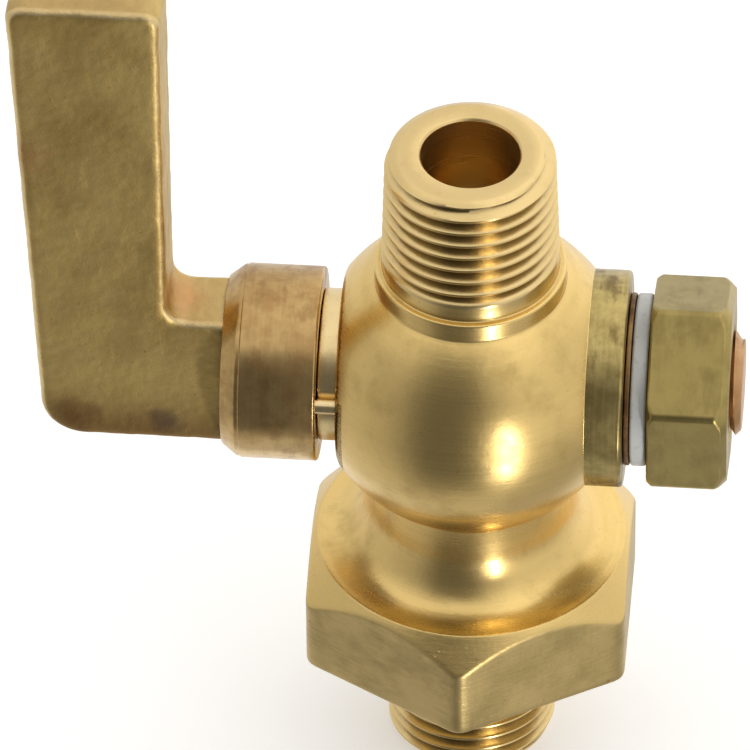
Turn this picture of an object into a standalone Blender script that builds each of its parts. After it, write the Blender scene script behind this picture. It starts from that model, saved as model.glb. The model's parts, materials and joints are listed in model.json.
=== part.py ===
"""A brass ground-plug valve: male pipe thread at both ends, L-shaped lever, plug held by a nut.

The flow runs up +Z from the lower pipe end, whose centre is the origin. The tapered plug lies along X:
its large end and the lever are at -X, its small end, the washers and the nut are at +X. The valve is open.
"""

import math

import bmesh
import bpy
from mathutils import Vector

MM = 0.001
INCH = 25.4 * MM
CLEARANCE = 0.05 * MM  # between pieces that touch or turn in each other
PAST = 1.0 * MM  # how far a cutter runs past the face it opens
SHARP_ANGLE = math.radians(35)  # an edge sharper than this is drawn as an edge
OVERSIZE = 0.3 * MM  # how far a round blank stands past the corners cut from it

# Driving sizes
BAR = 0.75 * INCH  # across the hex flats, and the ball's diameter
AXIS_Z = 28.6 * MM  # the plug's axis above the lower pipe end
TOP_Z = 46.0 * MM
HEX_BOTTOM_Z = 9.1 * MM
PIPE_PITCH = INCH / 27
PIPE_RADIUS = 4.99 * MM  # over the thread's crests, at the very end
PIPE_TAPER = 1 / 32  # growth of the radius along the thread
PIPE_THREAD_DEPTH = 0.68 * MM
THREAD_GAP = 0.2 * MM  # plain metal left at one end of a thread
PIPE_FACE_RADIUS = 4.2 * MM
PIPE_CHAMFER = 0.5 * MM
PIPE_BORE_RADIUS = 2.9 * MM
PORT_RADIUS = 2.1 * MM

# Valve body
BODY_SEGMENTS = 40
NECK_RADIUS = 6.0 * MM
COVE_RADIUS = 3.2 * MM
COVE_TOP_Z = AXIS_Z - 9.7 * MM
HEX_CORNER_RADIUS = BAR / math.sqrt(3)
HEX_CHAMFER_SLOPE = math.tan(math.radians(49))
COLLAR_RADIUS = 5.65 * MM
COLLAR_EDGE = 0.15 * MM
COLLAR_TOP_Z = AXIS_Z + 8.85 * MM
BAND_TOP_Z = AXIS_Z + 9.75 * MM  # the plain band between the collar and the thread
FACING_X = -7.6 * MM  # the flat that the plug's large end comes out of
BOSS_RADIUS = 6.4 * MM
BOSS_X = 9.25 * MM
BOSS_CHAMFER = 0.25 * MM
BORE_DEPTH_FROM_AXIS = 6.6 * MM
DRILL_TIP_SLOPE = math.tan(math.radians(31))

# Plug
PLUG_LARGE_RADIUS = 4.5 * MM
PLUG_TAPER = 1 / 14
PLUG_SMALL_X = BOSS_X - 0.3 * MM
HUB_RIGHT_X = -8.8 * MM
TANG_SIDE = 5.0 * MM
TANG_END_X = -12.9 * MM
STUD_RADIUS = INCH / 8
STUD_END_X = 16.1 * MM
STUD_FLAT = 2.35 * MM  # from the axis to the flat of the D-shaped stud
STUD_CHAMFER = 0.4 * MM

# Lever
LEVER_THICKNESS = 4.6 * MM
ARM_HALF_HEIGHT = 4.75 * MM
LEVER_TOP = 28.8 * MM  # above the plug's axis
BLADE_OUTER_TOP_X = -26.8 * MM
BLADE_OUTER_BOTTOM_X = -25.3 * MM
BLADE_INNER_X = -17.65 * MM
HUB_LEFT_X = -14.45 * MM
HUB_RADIUS = 5.75 * MM
SHOULDER_LENGTH = 0.95 * MM  # the hub's cone on the arm's side
SHOULDER_HEIGHT = 0.75 * MM
HUB_CHAMFER = 0.15 * MM
LEVER_EDGE = 0.35 * MM
LEVER_EDGE_ANGLE = math.radians(50)
BLADE_TIP_RADIUS = 1.0 * MM
HEEL_RADIUS = 2.7 * MM
CROTCH_RADIUS = 1.3 * MM

# Stop pin, pressed in the hub; it runs in a quarter-turn recess in the body's flat
PIN_RADIUS = 0.45 * MM
PIN_CIRCLE = 5.0 * MM
PIN_ANGLE = math.radians(13)  # above the front of the plug's axis
PIN_HUB_END_X = -11.0 * MM
PIN_FREE_END_X = FACING_X + 0.3 * MM
RECESS_DEPTH = 0.45 * MM
RECESS_INSET = 0.2 * MM  # how far the recess reaches inside the plug's bore
RECESS_MARGIN = math.radians(8)
LEVER_TURN = math.radians(90)

# Washers and nut
WASHER_RADIUS = 5.1 * MM
KEY_WASHER_THICKNESS = 0.3 * MM
SEAL_WASHER_THICKNESS = 0.95 * MM
NUT_ACROSS_FLATS = INCH * 7 / 16
NUT_THICKNESS = INCH * 3 / 16
NUT_TURN = math.radians(23)  # one corner's angle above the front of the plug's axis
NUT_CHAMFER_SLOPE = math.tan(math.radians(35))
NUT_FACE_INSET = 0.25 * MM  # the chamfer's start inside the flats


def clear_scene():
    for old in list(bpy.data.objects):
        bpy.data.objects.remove(old, do_unlink=True)


def material(name, colour, roughness, metallic):
    made = bpy.data.materials.new(name)
    made.use_nodes = True
    shader = made.node_tree.nodes["Principled BSDF"]
    shader.inputs["Base Color"].default_value = (*colour, 1)
    shader.inputs["Roughness"].default_value = roughness
    shader.inputs["Metallic"].default_value = metallic
    return made


def add_object(name, shape, parent=None):
    """A closed bmesh becomes an object; one with a parent keeps its points relative to that parent."""
    bmesh.ops.recalc_face_normals(shape, faces=shape.faces)
    mesh = bpy.data.meshes.new(name)
    shape.to_mesh(mesh)
    shape.free()
    mesh.shade_smooth()
    mesh.set_sharp_from_angle(angle=SHARP_ANGLE)
    made = bpy.data.objects.new(name, mesh)
    made.parent = parent
    bpy.context.scene.collection.objects.link(made)
    return made


def ring(shape, radius, height, segments):
    angles = [2 * math.pi * i / segments for i in range(segments)]
    return [shape.verts.new((radius * math.cos(a), radius * math.sin(a), height)) for a in angles]


def join_rings(shape, lower, upper):
    for i in range(len(lower)):
        j = (i + 1) % len(lower)
        shape.faces.new([lower[i], lower[j], upper[j], upper[i]])


def turned(profile, segments):
    """A solid of revolution about Z from (radius, height) points, with a flat cap at each end."""
    shape = bmesh.new()
    rings = [ring(shape, radius, height, segments) for radius, height in profile]
    for lower, upper in zip(rings, rings[1:]):
        join_rings(shape, lower, upper)
    shape.faces.new(rings[0])
    shape.faces.new(rings[-1])
    return shape


def lay_along_x(shape):
    """Turns a solid made about Z so that its +Z end points along +X."""
    for vertex in shape.verts:
        x, y, z = vertex.co
        vertex.co = (z, y, -x)
    return shape


def shaft(radius, low, high, segments, chamfer=0.0):
    """A round bar about Z, whose upper edge may be chamfered."""
    profile = [(radius, low), (radius, high - chamfer)]
    if chamfer:
        profile.append((radius - chamfer, high))
    return turned(profile, segments)


def prism(outline, low, high):
    """A polygon in XY extruded along Z."""
    shape = bmesh.new()
    lower = [shape.verts.new((x, y, low)) for x, y in outline]
    upper = [shape.verts.new((x, y, high)) for x, y in outline]
    join_rings(shape, lower, upper)
    shape.faces.new(lower)
    shape.faces.new(upper)
    return shape


def hexagon(across_flats, first_corner=0.0):
    radius = across_flats / math.sqrt(3)
    corners = [first_corner + math.radians(60 * i) for i in range(6)]
    return [(radius * math.cos(a), radius * math.sin(a)) for a in corners]


def box_outline(side):
    half = side / 2
    return [(-half, -half), (half, -half), (half, half), (-half, half)]


def arc(centre, radius, start, end, steps):
    """Points on an arc, angles in degrees, both ends included."""
    angles = [math.radians(start + (end - start) * i / steps) for i in range(steps + 1)]
    return [(centre[0] + radius * math.cos(a), centre[1] + radius * math.sin(a)) for a in angles]


def thread(shape, below, low, high, end_z):
    """A helical V thread cut in a tapering pipe between two heights. It returns the ring at its top.

    Rows alternate between crest and root, two to a pitch, and each row climbs one pitch in a turn, so the
    row that ends a turn meets the second row above it. The groove fades in and out over half a turn.
    """
    segments = len(below)
    turns = int((high - low) / PIPE_PITCH) - 1  # the helix climbs one pitch more than this
    rows = 2 * turns
    first_z = (low + high - (turns + 1) * PIPE_PITCH) / 2

    def vertex(row, column):
        turn = row / 2 + column / segments
        z = first_z + turn * PIPE_PITCH
        fade = min(1, 2 * turn, 2 * (turns + 1 - turn))
        groove = PIPE_THREAD_DEPTH * fade if row % 2 else 0
        radius = PIPE_RADIUS + abs(z - end_z) * PIPE_TAPER - groove
        angle = 2 * math.pi * column / segments
        return shape.verts.new((radius * math.cos(angle), radius * math.sin(angle), z))

    grid = [[vertex(row, column) for column in range(segments)] for row in range(rows + 1)]
    above = ring(shape, PIPE_RADIUS + abs(high - end_z) * PIPE_TAPER, high, segments)
    last = segments - 1
    for lower, upper in zip(grid, grid[1:]):
        for column in range(last):
            shape.faces.new([lower[column], lower[column + 1], upper[column + 1], upper[column]])
    for row in range(rows - 2):
        shape.faces.new([grid[row][last], grid[row + 2][0], grid[row + 3][0], grid[row + 1][last]])
    for column in range(last):
        shape.faces.new([below[column], below[column + 1], grid[0][column + 1], grid[0][column]])
        shape.faces.new([grid[-1][column], grid[-1][column + 1], above[column + 1], above[column]])
    shape.faces.new([below[last], below[0], grid[0][0], grid[1][0], grid[2][0], grid[0][last]])
    shape.faces.new([grid[-3][last], grid[-1][0], above[0], above[last], grid[-1][last], grid[-2][last]])
    return above


def body_blank():
    """The body as it leaves the lathe: pipe end, disc for the hex, cove, neck, ball, collar, pipe end."""
    ball = BAR / 2
    rim_radius = NECK_RADIUS + COVE_RADIUS
    rim_z = COVE_TOP_Z - COVE_RADIUS
    disc_radius = HEX_CORNER_RADIUS + OVERSIZE
    disc_top_z = rim_z - (disc_radius - rim_radius) * HEX_CHAMFER_SLOPE
    neck_angle = -math.degrees(math.acos(NECK_RADIUS / ball))
    collar_angle = math.degrees(math.acos(COLLAR_RADIUS / ball))
    band_radius = PIPE_RADIUS + (TOP_Z - BAND_TOP_Z) * PIPE_TAPER

    lower_end = [(PIPE_FACE_RADIUS, 0), (PIPE_RADIUS, PIPE_CHAMFER)]
    middle = [(PIPE_RADIUS + HEX_BOTTOM_Z * PIPE_TAPER, HEX_BOTTOM_Z)]
    middle += [(disc_radius, HEX_BOTTOM_Z), (disc_radius, disc_top_z)]
    middle += reversed(arc((rim_radius, COVE_TOP_Z), COVE_RADIUS, 180, 270, 8))
    middle += arc((0, AXIS_Z), ball, neck_angle, collar_angle, 18)
    middle += [(COLLAR_RADIUS, COLLAR_TOP_Z - COLLAR_EDGE)]
    middle += [(COLLAR_RADIUS - COLLAR_EDGE, COLLAR_TOP_Z), (band_radius, COLLAR_TOP_Z)]
    middle += [(band_radius, BAND_TOP_Z)]
    upper_end = [(PIPE_RADIUS, TOP_Z - PIPE_CHAMFER), (PIPE_FACE_RADIUS, TOP_Z)]

    shape = bmesh.new()

    def run(rings):
        for lower, upper in zip(rings, rings[1:]):
            join_rings(shape, lower, upper)

    lower_rings = [ring(shape, r, z, BODY_SEGMENTS) for r, z in lower_end]
    run(lower_rings)
    lower_top = thread(shape, lower_rings[-1], PIPE_CHAMFER, HEX_BOTTOM_Z - THREAD_GAP, 0)
    middle_rings = [lower_top] + [ring(shape, r, z, BODY_SEGMENTS) for r, z in middle]
    run(middle_rings)
    upper_high = TOP_Z - PIPE_CHAMFER
    upper_top = thread(shape, middle_rings[-1], BAND_TOP_Z, upper_high - THREAD_GAP, TOP_Z)
    upper_rings = [upper_top] + [ring(shape, r, z, BODY_SEGMENTS) for r, z in upper_end]
    run(upper_rings)
    shape.faces.new(lower_rings[0])
    shape.faces.new(upper_rings[-1])
    return shape


def boolean(target, operation, other):
    """Adds a Boolean modifier whose other object is a guide that isn't a piece of its own."""
    other.hide_render = True
    other.display_type = "WIRE"
    modifier = target.modifiers.new(other.name, "BOOLEAN")
    modifier.operation = operation
    modifier.object = other


def hex_ring(across_flats, low, high):
    """What is milled off a disc to leave a hexagon, with corners at the front and back."""
    quarter = math.radians(90)
    shape = bmesh.new()
    rings = []
    for outline, height in (
        (hexagon(across_flats, quarter), low),
        (hexagon(2 * across_flats, quarter), low),
        (hexagon(2 * across_flats, quarter), high),
        (hexagon(across_flats, quarter), high),
    ):
        rings.append([shape.verts.new((x, y, height)) for x, y in outline])
    for i in range(4):
        join_rings(shape, rings[i], rings[(i + 1) % 4])
    return shape


def taper_radius(x):
    return PLUG_LARGE_RADIUS - (x - FACING_X) * PLUG_TAPER


def plug_taper(low, high, extra, segments):
    """The plug's cone about Z between two places on its axis, grown by a clearance."""
    profile = [(taper_radius(x) + extra, x) for x in (low, high)]
    return turned(profile, segments)


def stop_recess():
    """A quarter-turn sector, cut in the body's flat, that the stop pin runs in."""
    # About Z the front of the plug's axis is -Y, and what is above it is -X
    start = math.degrees(-math.pi / 2 - PIN_ANGLE - RECESS_MARGIN)
    end = start + math.degrees(2 * RECESS_MARGIN + LEVER_TURN)
    inner = arc((0, 0), PLUG_LARGE_RADIUS - RECESS_INSET, start, end, 12)
    outer = arc((0, 0), HUB_RADIUS + PAST, end, start, 12)
    return prism(inner + outer, FACING_X - PAST, FACING_X + RECESS_DEPTH)


def make_valve_body(plug_axis):
    body = add_object("valve_body", body_blank())
    flats = hex_ring(BAR, HEX_BOTTOM_Z - PAST, COVE_TOP_Z)
    boss_shape = turned(
        [
            (BOSS_RADIUS, BAR / 4),
            (BOSS_RADIUS, BOSS_X - BOSS_CHAMFER),
            (BOSS_RADIUS - BOSS_CHAMFER, BOSS_X),
        ],
        BODY_SEGMENTS,
    )
    facing = shaft(BAR / 2, -BAR, FACING_X, BODY_SEGMENTS)
    bore_end = BORE_DEPTH_FROM_AXIS
    drill_tip = bore_end - (PIPE_BORE_RADIUS - PORT_RADIUS) * DRILL_TIP_SLOPE
    upper_bore = [
        (PORT_RADIUS, AXIS_Z + drill_tip),
        (PIPE_BORE_RADIUS, AXIS_Z + bore_end),
        (PIPE_BORE_RADIUS, TOP_Z + PAST),
    ]
    lower_bore = [
        (PIPE_BORE_RADIUS, -PAST),
        (PIPE_BORE_RADIUS, AXIS_Z - bore_end - PAST),
        (PORT_RADIUS, AXIS_Z - drill_tip - PAST),
    ]
    port_reach = bore_end + 2 * PAST
    plug_bore = plug_taper(FACING_X - 2 * PAST, BOSS_X + PAST, CLEARANCE, BODY_SEGMENTS)

    boolean(body, "DIFFERENCE", add_object("body_hex_flats", flats))
    boolean(body, "UNION", add_object("body_boss", lay_along_x(boss_shape), plug_axis))
    boolean(body, "DIFFERENCE", add_object("body_facing", lay_along_x(facing), plug_axis))
    boolean(body, "DIFFERENCE", add_object("body_stop_recess", lay_along_x(stop_recess()), plug_axis))
    boolean(body, "DIFFERENCE", add_object("body_plug_bore", lay_along_x(plug_bore), plug_axis))
    boolean(body, "DIFFERENCE", add_object("body_upper_bore", turned(upper_bore, BODY_SEGMENTS)))
    boolean(body, "DIFFERENCE", add_object("body_lower_bore", turned(lower_bore, BODY_SEGMENTS)))
    port = shaft(PORT_RADIUS, -port_reach, port_reach, BODY_SEGMENTS)
    boolean(body, "DIFFERENCE", add_object("body_port", port, plug_axis))
    return body


def stud_cutter(extra, low, high):
    """The D-shaped stud about Z, grown by a clearance."""
    radius = STUD_RADIUS + extra
    flat = STUD_FLAT + extra
    half_angle = math.degrees(math.acos(flat / radius))
    return prism(arc((0, 0), radius, half_angle, 360 - half_angle, 28), low, high)


def make_plug(plug_axis):
    """The tapered plug, with its cross port, squared tang for the lever and D-shaped stud for the nut."""
    small_radius = taper_radius(PLUG_SMALL_X)
    profile = [
        (PLUG_LARGE_RADIUS, HUB_RIGHT_X + CLEARANCE),
        (PLUG_LARGE_RADIUS, FACING_X),
        (small_radius, PLUG_SMALL_X),
    ]
    plug = add_object("tapered_plug", lay_along_x(turned(profile, BODY_SEGMENTS)), plug_axis)
    tang_side = TANG_SIDE - 2 * CLEARANCE
    tang = prism(box_outline(tang_side), TANG_END_X, FACING_X)
    stud = shaft(STUD_RADIUS, 0, STUD_END_X, 32, STUD_CHAMFER)
    flat_side = 4 * STUD_RADIUS
    flat_middle = STUD_FLAT + flat_side / 2
    flat_outline = [(x + flat_middle, y) for x, y in box_outline(flat_side)]
    flat = prism(flat_outline, PLUG_SMALL_X + CLEARANCE, STUD_END_X + PAST)
    port_reach = 2 * PLUG_LARGE_RADIUS
    boolean(plug, "UNION", add_object("plug_tang", lay_along_x(tang), plug_axis))
    boolean(plug, "UNION", add_object("plug_stud", lay_along_x(stud), plug_axis))
    boolean(plug, "DIFFERENCE", add_object("plug_stud_flat", lay_along_x(flat), plug_axis))
    port = shaft(PORT_RADIUS, -port_reach, port_reach, BODY_SEGMENTS)
    boolean(plug, "DIFFERENCE", add_object("plug_port", port, plug_axis))
    return plug


def rounded(corners, steps=5):
    """An outline through (x, y, corner radius) points, each corner rounded by an arc."""
    outline = []
    for i, (x, y, radius) in enumerate(corners):
        here = Vector((x, y))
        before = (Vector(corners[i - 1][:2]) - here).normalized()
        after = (Vector(corners[(i + 1) % len(corners)][:2]) - here).normalized()
        if not radius:
            outline.append((x, y))
            continue
        half = before.angle(after) / 2
        middle = here + (before + after).normalized() * radius / math.sin(half)
        start = here + before * radius / math.tan(half) - middle
        end = here + after * radius / math.tan(half) - middle
        for k in range(steps + 1):
            spoke = start.normalized().slerp(end.normalized(), k / steps)
            outline.append(tuple(middle + spoke * radius))
    return outline


def lever_plate():
    """The L-shaped arm and blade, lying in XZ with its thickness along Y."""
    foot_x = HUB_LEFT_X + SHOULDER_LENGTH
    corners = [
        (BLADE_OUTER_TOP_X, LEVER_TOP, BLADE_TIP_RADIUS),
        (BLADE_OUTER_BOTTOM_X, -ARM_HALF_HEIGHT, HEEL_RADIUS),
        (foot_x, -ARM_HALF_HEIGHT, 0),
        (foot_x, ARM_HALF_HEIGHT, 0),
        (BLADE_INNER_X, ARM_HALF_HEIGHT, CROTCH_RADIUS),
        (BLADE_INNER_X, LEVER_TOP, BLADE_TIP_RADIUS),
    ]
    shape = prism(rounded(corners), -LEVER_THICKNESS / 2, LEVER_THICKNESS / 2)
    for vertex in shape.verts:
        x, y, z = vertex.co
        vertex.co = (x, -z, y)
    return shape


def make_lever(plug_axis):
    """The cast lever: an L-shaped arm on a round hub that is pressed on the plug's tang."""
    lever = add_object("lever_handle", lever_plate(), plug_axis)
    edges = lever.modifiers.new("cast edges", "BEVEL")
    edges.width = LEVER_EDGE
    edges.segments = 2
    edges.limit_method = "ANGLE"
    edges.angle_limit = LEVER_EDGE_ANGLE
    hub = turned(
        [
            (HUB_RADIUS - SHOULDER_HEIGHT, HUB_LEFT_X),
            (HUB_RADIUS, HUB_LEFT_X + SHOULDER_LENGTH),
            (HUB_RADIUS, HUB_RIGHT_X - HUB_CHAMFER),
            (HUB_RADIUS - HUB_CHAMFER, HUB_RIGHT_X),
        ],
        BODY_SEGMENTS,
    )
    socket = prism(box_outline(TANG_SIDE), TANG_END_X - 2 * CLEARANCE, HUB_RIGHT_X + PAST)
    boolean(lever, "UNION", add_object("lever_hub", lay_along_x(hub), plug_axis))
    boolean(lever, "DIFFERENCE", add_object("lever_socket", lay_along_x(socket), plug_axis))
    hole = pin_shape(PIN_RADIUS + CLEARANCE, PIN_HUB_END_X - CLEARANCE, HUB_RIGHT_X + PAST)
    boolean(lever, "DIFFERENCE", add_object("lever_pin_hole", hole, plug_axis))
    return lever


def pin_shape(radius, low, high):
    """A round pin along X on the stop pin's circle, in front of the plug's axis."""
    shape = lay_along_x(shaft(radius, low, high, 16))
    offset = Vector((0, -math.cos(PIN_ANGLE), math.sin(PIN_ANGLE))) * PIN_CIRCLE
    bmesh.ops.translate(shape, vec=offset, verts=shape.verts)
    return shape


def make_stop_pin(plug_axis):
    return add_object("stop_pin", pin_shape(PIN_RADIUS, PIN_HUB_END_X, PIN_FREE_END_X), plug_axis)


def make_washer(name, plug_axis, low, thickness, hole):
    """A flat washer about the plug's axis. The hole is a cutter made about Z."""
    edge = thickness / 6
    high = low + thickness
    profile = [(WASHER_RADIUS - edge, low), (WASHER_RADIUS, low + edge)]
    profile += [(WASHER_RADIUS, high - edge), (WASHER_RADIUS - edge, high)]
    washer = add_object(name, lay_along_x(turned(profile, 36)), plug_axis)
    boolean(washer, "DIFFERENCE", add_object(name + "_hole", lay_along_x(hole), plug_axis))
    return washer


def make_nut(plug_axis, low):
    """A hexagon nut, chamfered on both faces."""
    high = low + NUT_THICKNESS
    corner = NUT_ACROSS_FLATS / math.sqrt(3)
    inner = NUT_ACROSS_FLATS / 2 - NUT_FACE_INSET
    reach = corner + OVERSIZE
    rise = (reach - inner) * NUT_CHAMFER_SLOPE
    profile = [(inner, low), (reach, low + rise), (reach, high - rise), (inner, high)]
    # About Z the front of the plug's axis is -Y, and its top is -X
    first_corner = -math.pi / 2 - NUT_TURN
    outline = hexagon(NUT_ACROSS_FLATS, first_corner)
    nut = add_object("retaining_nut", lay_along_x(prism(outline, low - PAST, high + PAST)), plug_axis)
    boolean(nut, "INTERSECT", add_object("nut_blank", lay_along_x(turned(profile, 48)), plug_axis))
    bore = shaft(STUD_RADIUS + CLEARANCE, low - PAST, high + PAST, 32)
    boolean(nut, "DIFFERENCE", add_object("nut_bore", lay_along_x(bore), plug_axis))
    return nut


def main():
    clear_scene()
    plug_axis = bpy.data.objects.new("plug_axis", None)
    plug_axis.location = (0, 0, AXIS_Z)
    bpy.context.scene.collection.objects.link(plug_axis)

    key_low = BOSS_X + CLEARANCE
    seal_low = key_low + KEY_WASHER_THICKNESS + CLEARANCE
    nut_low = seal_low + SEAL_WASHER_THICKNESS + CLEARANCE
    key_hole = stud_cutter(CLEARANCE, key_low - PAST, key_low + KEY_WASHER_THICKNESS + PAST)
    seal_hole = shaft(STUD_RADIUS + CLEARANCE, seal_low - PAST, nut_low + PAST, 32)

    made = {
        "body_brass": make_valve_body(plug_axis),
        "plug_brass": make_plug(plug_axis),
        "lever_brass": make_lever(plug_axis),
        "pin_brass": make_stop_pin(plug_axis),
        "washer_brass": make_washer("key_washer", plug_axis, key_low, KEY_WASHER_THICKNESS, key_hole),
        "washer_nylon": make_washer("seal_washer", plug_axis, seal_low, SEAL_WASHER_THICKNESS, seal_hole),
        "nut_brass": make_nut(plug_axis, nut_low),
    }
    finishes = {
        "body_brass": ((0.62, 0.46, 0.19), 0.28, 1.0),
        "plug_brass": ((0.66, 0.48, 0.2), 0.25, 1.0),
        "lever_brass": ((0.34, 0.25, 0.12), 0.45, 1.0),
        "pin_brass": ((0.7, 0.55, 0.3), 0.2, 1.0),
        "washer_brass": ((0.42, 0.27, 0.13), 0.4, 1.0),
        "washer_nylon": ((0.68, 0.7, 0.68), 0.5, 0.0),
        "nut_brass": ((0.47, 0.39, 0.17), 0.35, 1.0),
    }
    for slot, piece in made.items():
        piece.data.materials.append(material(slot, *finishes[slot]))


main()
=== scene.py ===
"""The looks of the brass plug valve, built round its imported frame.

Every piece is rebuilt as a fine mesh in the place of its CAD node: rounded edges, a true helical thread on
both pipe ends and on the stud, a cast lever with an uneven skin. Shapes are worked out in millimetres.
"""

import json
import math

import bmesh
import bpy
import numpy as np
from mathutils import Matrix, Vector, noise


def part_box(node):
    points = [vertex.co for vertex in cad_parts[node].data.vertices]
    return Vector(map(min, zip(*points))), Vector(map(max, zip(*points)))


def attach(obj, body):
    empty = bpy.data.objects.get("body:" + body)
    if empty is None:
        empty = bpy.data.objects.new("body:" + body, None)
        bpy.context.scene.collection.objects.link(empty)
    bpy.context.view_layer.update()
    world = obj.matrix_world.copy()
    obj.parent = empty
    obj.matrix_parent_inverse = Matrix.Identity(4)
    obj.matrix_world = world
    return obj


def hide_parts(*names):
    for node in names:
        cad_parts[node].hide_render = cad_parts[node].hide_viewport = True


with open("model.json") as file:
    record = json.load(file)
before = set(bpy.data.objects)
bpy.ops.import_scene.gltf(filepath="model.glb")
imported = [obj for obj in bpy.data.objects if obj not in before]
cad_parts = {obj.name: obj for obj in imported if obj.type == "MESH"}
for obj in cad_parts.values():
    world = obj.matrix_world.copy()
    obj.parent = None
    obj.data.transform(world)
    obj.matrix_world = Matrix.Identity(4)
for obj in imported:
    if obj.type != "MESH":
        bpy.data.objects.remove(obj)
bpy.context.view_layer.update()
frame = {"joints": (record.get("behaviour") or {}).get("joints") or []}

MM = 0.001
TURN = 2 * math.pi


def extent(node, axis):
    """A CAD node's lowest and highest place on one axis, in millimetres."""
    low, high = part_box(node)
    return low[axis] / MM, high[axis] / MM


X, Y, Z = 0, 1, 2
AXIS_Z = frame["joints"][0]["pos_m"][Z] / MM  # the plug's axis
TOP_Z = extent("valve_body", Z)[1]

# Valve body
BAR = 19.05  # across the hex flats, and the ball's diameter
HEX_BOTTOM_Z = 9.1
HEX_EDGE = 0.16
HEX_SOFTNESS = 0.7  # how far the hex's corners are rubbed round
CONE_SLOPE = math.tan(math.radians(49))
PIPE_PITCH = 25.4 / 27
PIPE_RADIUS = 4.99
PIPE_TAPER = 1 / 32
PIPE_DEPTH = 0.68
PIPE_FACE_RADIUS = 4.2
PIPE_CHAMFER = 0.5
PIPE_FACE_EDGE = ((0.12, 0), (0.03, 0.015))  # how far in from the face's radius, and how far below the face
CHAMFER_START = 0.06  # the chamfer's first ring below the end face
LOWER_CREST_Z = 0.3 * PIPE_PITCH
LOWER_RUN_OUT_Z = HEX_BOTTOM_Z - 0.25
UPPER_CREST_Z = AXIS_Z + 16.46  # a crest at the front of the upper pipe end
BORE_RADIUS = 2.9
BORE_EDGE = 0.14
BORE_DEPTH_FROM_AXIS = 6.6
DRILL_TIP_SLOPE = math.tan(math.radians(31))
PORT_RADIUS = 2.1
NECK_RADIUS = 6.0
NECK_FILLET = 0.35
COVE_RADIUS = 3.2
COVE_TOP_Z = AXIS_Z - 9.7
COLLAR_RADIUS = 5.65
COLLAR_TOP_Z = AXIS_Z + 8.85
BAND_TOP_Z = AXIS_Z + 9.75
UPPER_RUN_OUT_Z = BAND_TOP_Z + 0.08
FACING_X = -7.6
BOSS_RADIUS = 6.4
BOSS_X = 9.25
BOSS_EDGE = 0.22
BOSS_FILLET = 0.07

# Plug and stop pin
PLUG_RADIUS = 4.5
PLUG_TAPER = 1 / 14
PLUG_SMALL_X = BOSS_X - 0.3
NECK_LEFT_X = extent("lever_handle", X)[1] + 0.05
TANG_SIDE = 4.9
TANG_CORNER = 0.3
TANG_END_X = extent("tapered_plug", X)[0]
STUD_RADIUS = 25.4 / 8
STUD_END_X = extent("tapered_plug", X)[1]
STUD_PITCH = 25.4 / 28
STUD_DEPTH = 0.5
STUD_FLAT = 2.35
STUD_CHAMFER = 0.5
STUD_THREAD_X = 10.6
PIN_RADIUS = 0.45
PIN_CIRCLE = 5.0
PIN_ANGLE = math.radians(13)  # above the front
RECESS_DEPTH = 0.45
RECESS_MARGIN = math.radians(8)
LEVER_TURN = math.radians(90)
CLEARANCE = 0.05

# Lever
LEVER_THICKNESS = 4.6
LEVER_EDGE = 0.55
ARM_HALF_HEIGHT = 4.75
LEVER_TOP = extent("lever_handle", Z)[1]
BLADE_OUTER_TOP_X = extent("lever_handle", X)[0]
BLADE_OUTER_BOTTOM_X = BLADE_OUTER_TOP_X + 1.5
BLADE_INNER_X = -17.65
BLADE_TIP_RADIUS, HEEL_RADIUS, CROTCH_RADIUS = 1.0, 2.7, 1.3
ARM_INTO_HUB = 1.8
CAST_MARGIN = 0.04  # keeps the uneven skin inside the CAD lever's box
SKIN_VOXEL = 0.16
SKIN_SWELL, SKIN_GRAIN = 0.05, 0.016
HUB_LEFT_X = -14.45
HUB_RIGHT_X = extent("lever_handle", X)[1]
HUB_RADIUS = 5.75
HUB_FACE_RADIUS = 5.0
HUB_STEP_RADIUS, HUB_STEP_X = 5.68, HUB_LEFT_X + 1.1  # a shoulder ends in a fine step up to the full radius

# Washers and nut
WASHER_RADIUS = 5.1
NUT_FLATS = 25.4 * 7 / 16
NUT_TURN = math.radians(23)
NUT_SOFTNESS = 0.3
NUT_LEFT_CORNER, NUT_RIGHT_CORNER = 0.45, 0.15  # what the lathe left of the corners outside the flats
NUT_LEFT_BEVEL, NUT_RIGHT_BEVEL = 0.12, 0.35
NUT_SINK = 0.45  # the countersink at each end of its hole

SHARP_ANGLE = math.radians(32)


# --- Mesh building -----------------------------------------------------------------------------------------

def smooth_min(first, second, size):
    """The smaller of two values, with the change-over rounded across a width of size."""
    overlap = np.maximum(size - np.abs(first - second), 0) / size
    return np.minimum(first, second) - overlap**2 * size / 4


def column_angles(count, corners=(), near=(0.5, 1.0)):
    """Evenly spaced angles round an axis, with more of them beside each corner."""
    even = np.arange(count) * TURN / count
    beside = [corner + side * math.radians(gap) for corner in corners for gap in near for side in (-1, 1)]
    return np.unique(np.round(np.concatenate([even, beside]) % TURN, 6))


def row(angles, radius, height):
    """One ring of points about Z; the radius and height are numbers or one value per angle."""
    radius = radius + np.zeros(len(angles))
    height = height + np.zeros(len(angles))
    return np.stack([radius * np.cos(angles), radius * np.sin(angles), height], axis=1)


def rings(angles, profile):
    return [row(angles, radius, height) for radius, height in profile]


def arc(centre, radius, start, end, steps):
    """Points on an arc, angles in degrees, both ends included."""
    angles = np.radians(np.linspace(start, end, steps + 1))
    return [(centre[0] + radius * math.cos(a), centre[1] + radius * math.sin(a)) for a in angles]


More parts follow.
